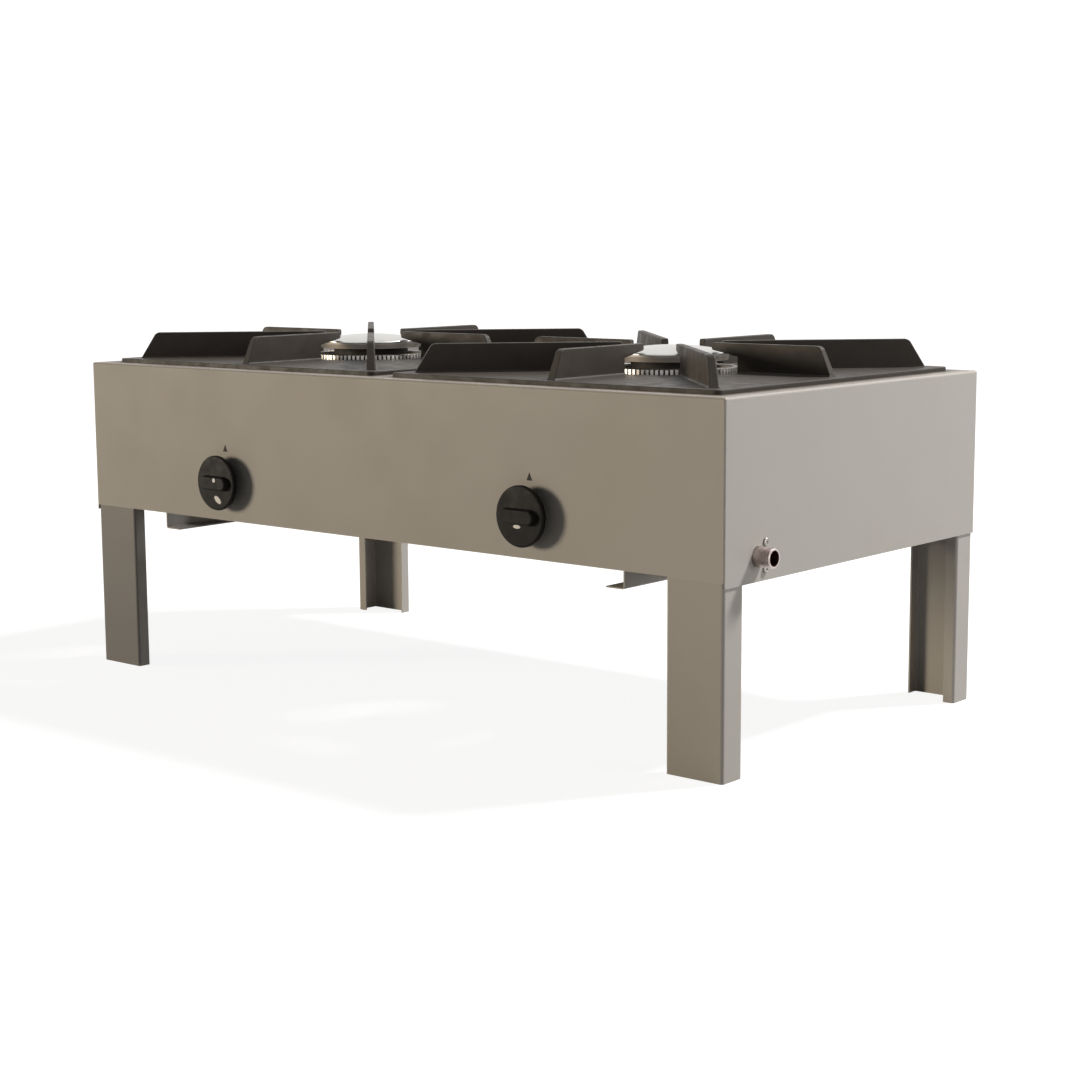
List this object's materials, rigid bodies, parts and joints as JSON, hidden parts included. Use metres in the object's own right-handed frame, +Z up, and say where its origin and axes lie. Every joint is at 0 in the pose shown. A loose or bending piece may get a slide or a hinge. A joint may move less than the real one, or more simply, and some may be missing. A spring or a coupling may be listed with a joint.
{
  "type": "stock pot range",
  "caption": "Low gas range for stock pots: sheet-metal casing on channel legs, cast pan supports with raised radial fins over domed burners, turning knobs in front and a gas inlet on the right.",
  "frame": {"origin": "on the floor, under the middle of the whole range with its knobs and gas inlet", "axes": "+Z up, the knobs face -Y, the gas inlet points to +X"},
  "size_m": [1.02, 0.5326, 0.43],
  "materials": {
    "casing": "satin baked paint, warm grey",
    "cast_plate": "matt, slightly grainy casting",
    "burner_iron": "rough grey casting",
    "cap": "smooth, satin polish",
    "ring": "machined",
    "brass": "machined",
    "pipe": "bare tube",
    "steel": "zinc plated",
    "knob": "black, semi-gloss, with light marks",
    "aluminium": "pressed sheet"
  },
  "bodies": {
    "casing": {"bonnet_screws": "steel", "burner_body_left": "burner_iron", "burner_body_right": "burner_iron", "burner_bolts": "steel", "burner_nuts": "steel", "burner_rail_front": "steel", "burner_rail_rear": "steel", "centre_bar": "casing", "clamp_screws": "steel", "flame_ring_left": "ring", "flame_ring_right": "ring", "front_panel": "casing", "injector_left": "brass", "injector_right": "brass", "inlet_bracket": "steel", "inlet_screws": "steel", "leg_front_left": "casing", "leg_front_right": "casing", "leg_rear_left": "casing", "leg_rear_right": "casing", "manifold_bracket": "steel", "manifold_pipe": "pipe", "manifold_plug": "steel", "rear_panel": "casing", "side_panel_left": "casing", "side_panel_right": "casing", "tap_body_left": "brass", "tap_body_right": "brass", "tap_bonnet_left": "brass", "tap_bonnet_right": "brass", "tap_clamps": "steel", "tray_runner_left": "casing", "tray_runner_right": "casing"},
    "pan_support_left": {"pan_support_left": "cast_plate"},
    "burner_cap_left": {"burner_cap_left": "cap"},
    "tap_plug_left": {"tap_plug_left": "brass", "tap_spring_left": "steel"},
    "knob_left": {"knob_left": "knob", "tap_spindle_left": "steel"},
    "air_shutter_left": {"air_shutter_left": "aluminium"},
    "pan_support_right": {"pan_support_right": "cast_plate"},
    "burner_cap_right": {"burner_cap_right": "cap"},
    "tap_plug_right": {"tap_plug_right": "brass", "tap_spring_right": "steel"},
    "knob_right": {"knob_right": "knob", "tap_spindle_right": "steel"},
    "air_shutter_right": {"air_shutter_right": "aluminium"}
  },
  "joints": [
    {"name": "lift_pan_support_left", "type": "slide", "parent": "casing", "child": "pan_support_left", "axis": [0, 0, 1], "range_m": [0, 0.12]},
    {"name": "lift_burner_cap_left", "type": "slide", "parent": "casing", "child": "burner_cap_left", "axis": [0, 0, 1], "range_m": [0, 0.0015]},
    {"name": "turn_left", "type": "hinge", "parent": "casing", "child": "tap_plug_left", "pos_m": [-0.255, -0.18275, 0.2548], "axis": [0, -1, 0], "range_deg": [0, 180]},
    {"name": "press_left", "type": "slide", "parent": "tap_plug_left", "child": "knob_left", "axis": [0, 1, 0], "range_m": [0, 0.0035], "stiffness_N_per_m": 1200, "springref_m": -0.005, "deforming": ["tap_spring_left"]},
    {"name": "slide_air_shutter_left", "type": "slide", "parent": "casing", "child": "air_shutter_left", "axis": [0, -1, 0], "range_m": [0, 0.008]},
    {"name": "lift_pan_support_right", "type": "slide", "parent": "casing", "child": "pan_support_right", "axis": [0, 0, 1], "range_m": [0, 0.12]},
    {"name": "lift_burner_cap_right", "type": "slide", "parent": "casing", "child": "burner_cap_right", "axis": [0, 0, 1], "range_m": [0, 0.0015]},
    {"name": "turn_right", "type": "hinge", "parent": "casing", "child": "tap_plug_right", "pos_m": [0.235, -0.18275, 0.2548], "axis": [0, -1, 0], "range_deg": [0, 180]},
    {"name": "press_right", "type": "slide", "parent": "tap_plug_right", "child": "knob_right", "axis": [0, 1, 0], "range_m": [0, 0.0035], "stiffness_N_per_m": 1200, "springref_m": -0.005, "deforming": ["tap_spring_right"]},
    {"name": "slide_air_shutter_right", "type": "slide", "parent": "casing", "child": "air_shutter_right", "axis": [0, -1, 0], "range_m": [0, 0.008]}
  ]
}
